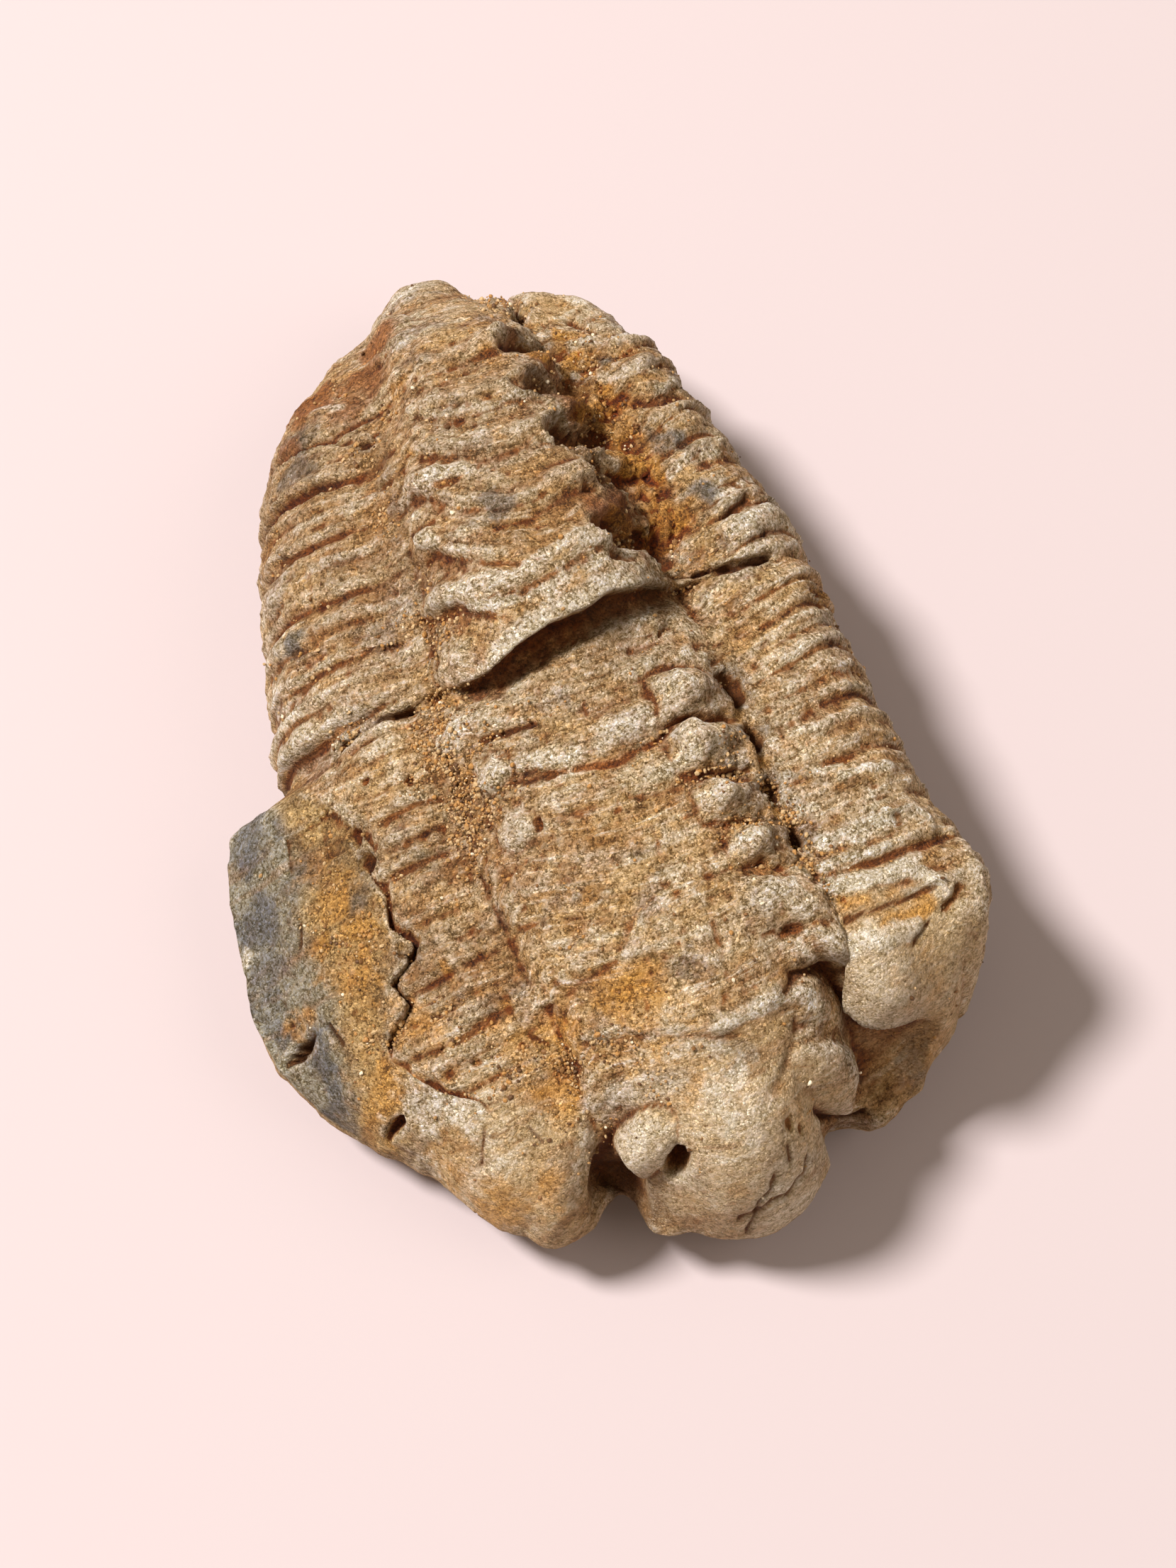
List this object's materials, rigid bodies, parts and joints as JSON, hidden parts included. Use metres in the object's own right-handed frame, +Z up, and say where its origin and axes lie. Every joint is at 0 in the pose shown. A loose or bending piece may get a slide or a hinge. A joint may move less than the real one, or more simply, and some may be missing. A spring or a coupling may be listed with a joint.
{
  "type": "trilobite fossil",
  "caption": "Weathered trilobite fossil in one piece of stone, with a ribbed body, a knobbly head and a broken matrix plate at one side.",
  "frame": {"origin": "under the middle of the stone, on the plane that it rests on", "axes": "+Y along the body towards the tail, +X to the right with the tail away, +Z up"},
  "size_m": [0.044, 0.0646, 0.0235],
  "materials": {
    "stone": "dry, matt, weathered mudstone with ochre and rust stains"
  },
  "bodies": {
    "root": {"trilobite_fossil": "stone"}
  },
  "joints": []
}
